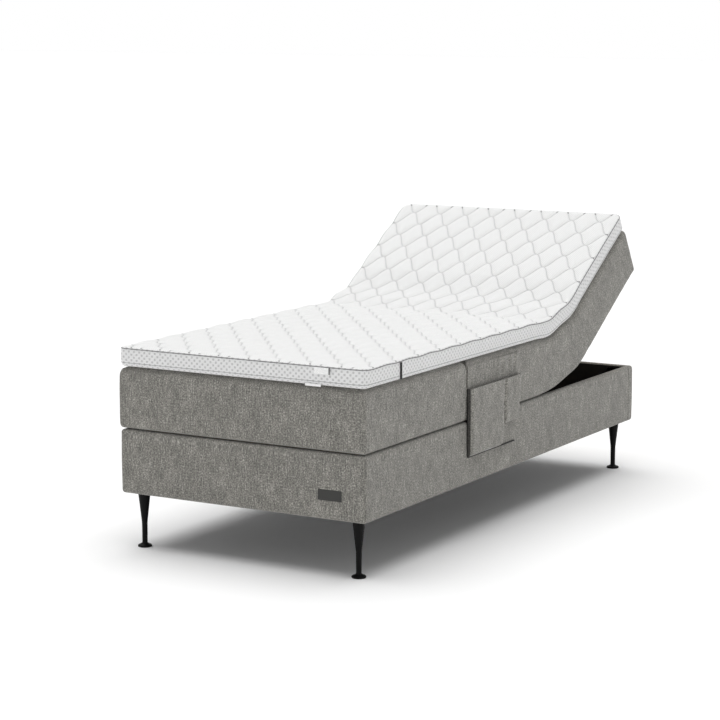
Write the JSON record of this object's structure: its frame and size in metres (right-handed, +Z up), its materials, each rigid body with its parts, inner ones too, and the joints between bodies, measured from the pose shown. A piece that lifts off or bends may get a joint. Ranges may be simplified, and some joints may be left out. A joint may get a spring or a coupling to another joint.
{
  "type": "adjustable bed",
  "caption": "Single adjustable bed: upholstered box on slim legs, flexing mattress block with raised head end, quilted topper, side pocket and lifting gear inside.",
  "frame": {"origin": "middle of the bed's plan, on the floor", "axes": "+Y towards the head end, +X across the bed towards the side with the pocket, +Z up"},
  "size_m": [0.919, 2.002, 0.9654],
  "materials": {
    "timber": "matte",
    "plywood": "matte",
    "upholstery": "matte",
    "pocket_fabric": "matte",
    "topper_fabric": "matte",
    "lining": "matte",
    "badge_metal": "satin",
    "leg_black": "satin",
    "glide_black": "matte",
    "steel": "satin",
    "lift_black": "satin",
    "nylon": "satin",
    "drive_plastic": "matte",
    "motor_metal": "satin",
    "handset_plastic": "satin",
    "button_rubber": "matte"
  },
  "bodies": {
    "base": {"side_rails": "timber", "end_rails": "timber", "corner_blocks": "timber", "support_ledges": "timber", "seat_crossbars": "timber", "seat_board": "plywood", "cover_left": "upholstery", "cover_right": "upholstery", "cover_foot": "upholstery", "cover_head": "upholstery", "block_seat": "upholstery", "topper_seat": "topper_fabric", "box_lining": "lining", "dust_cover": "lining", "badge": "badge_metal", "leg_foot_left": "leg_black", "leg_foot_right": "leg_black", "leg_head_left": "leg_black", "leg_head_right": "leg_black", "leg_glides": "glide_black", "leg_bolts": "steel", "leg_inserts": "steel", "spindles": "steel", "lift_bearings": "nylon", "drive_tray": "drive_plastic", "drive_cover": "drive_plastic", "drive_hangers": "drive_plastic", "mains_inlet": "drive_plastic", "motor_back": "motor_metal", "motor_leg": "motor_metal"},
    "hip": {"hip_slats": "plywood", "block_hip": "upholstery", "topper_hip": "topper_fabric"},
    "back": {"back_board": "plywood", "back_lift_rails": "nylon", "block_back": "upholstery", "topper_back": "topper_fabric"},
    "thigh": {"thigh_board": "plywood", "leg_lift_rails": "nylon", "block_thigh": "upholstery", "topper_thigh": "topper_fabric", "knee_leaves_thigh": "steel", "knee_pins": "steel", "pocket_backing": "pocket_fabric", "pocket_large": "pocket_fabric", "pocket_small": "pocket_fabric"},
    "calf": {"calf_board": "plywood", "block_foot": "upholstery", "topper_foot": "topper_fabric", "knee_leaves_calf": "steel"},
    "back_lift": {"back_lift_frame": "lift_black", "back_lift_shoes": "nylon"},
    "leg_lift": {"leg_lift_frame": "lift_black", "leg_lift_shoes": "nylon"},
    "back_thrust": {"thrust_block_back": "nylon"},
    "leg_thrust": {"thrust_block_leg": "nylon"},
    "handset": {"handset_shell": "handset_plastic"},
    "head_button": {"handset_buttons_head": "button_rubber"},
    "legs_button": {"handset_buttons_legs": "button_rubber"}
  },
  "joints": [
    {"name": "back_raise", "type": "hinge", "parent": "base", "child": "hip", "pos_m": [0, 0.282, 0.551], "axis": [1, 0, 0], "range_deg": [-15.75, 9.25]},
    {"name": "back_raise_upper", "type": "hinge", "parent": "hip", "child": "back", "pos_m": [0, 0.46487, 0.60257], "axis": [1, 0, 0], "range_deg": [-15.75, 9.25]},
    {"name": "thigh_raise", "type": "hinge", "parent": "base", "child": "thigh", "pos_m": [0, 0.03, 0.551], "axis": [-1, 0, 0], "range_deg": [0, 25]},
    {"name": "knee_bend", "type": "hinge", "parent": "thigh", "child": "calf", "pos_m": [0, -0.35, 0.363], "axis": [1, 0, 0], "range_deg": [0, 40]},
    {"name": "back_lift_turn", "type": "hinge", "parent": "base", "child": "back_lift", "pos_m": [0, 0.26, 0.3], "axis": [1, 0, 0], "range_deg": [-16.54, 9.71]},
    {"name": "leg_lift_turn", "type": "hinge", "parent": "base", "child": "leg_lift", "pos_m": [0, -0.06, 0.3], "axis": [-1, 0, 0], "range_deg": [0, 28.75]},
    {"name": "back_thrust_slide", "type": "slide", "parent": "base", "child": "back_thrust", "axis": [0, 1, 0], "range_m": [-0.02498, 0.01468]},
    {"name": "leg_thrust_slide", "type": "slide", "parent": "base", "child": "leg_thrust", "axis": [0, -1, 0], "range_m": [-0.00001, 0.04358]},
    {"name": "handset_draw", "type": "slide", "parent": "thigh", "child": "handset", "axis": [0, 0, 1], "range_m": [0, 0.24]},
    {"name": "head_button_press", "type": "slide", "parent": "handset", "child": "head_button", "axis": [-1, 0, 0], "range_m": [0, 0.0008], "stiffness_N_per_m": 600},
    {"name": "legs_button_press", "type": "slide", "parent": "handset", "child": "legs_button", "axis": [-1, 0, 0], "range_m": [0, 0.0008], "stiffness_N_per_m": 600}
  ],
  "couplings": [
    {"joint": "back_raise_upper", "follows": "back_raise", "ratio": 1},
    {"joint": "back_lift_turn", "follows": "back_raise", "ratio": 1.05},
    {"joint": "back_thrust_slide", "follows": "back_raise", "m_per_rad": 0.090845},
    {"joint": "knee_bend", "follows": "thigh_raise", "ratio": 1.6},
    {"joint": "leg_lift_turn", "follows": "thigh_raise", "ratio": 1.15},
    {"joint": "leg_thrust_slide", "follows": "thigh_raise", "m_per_rad": 0.099854}
  ]
}
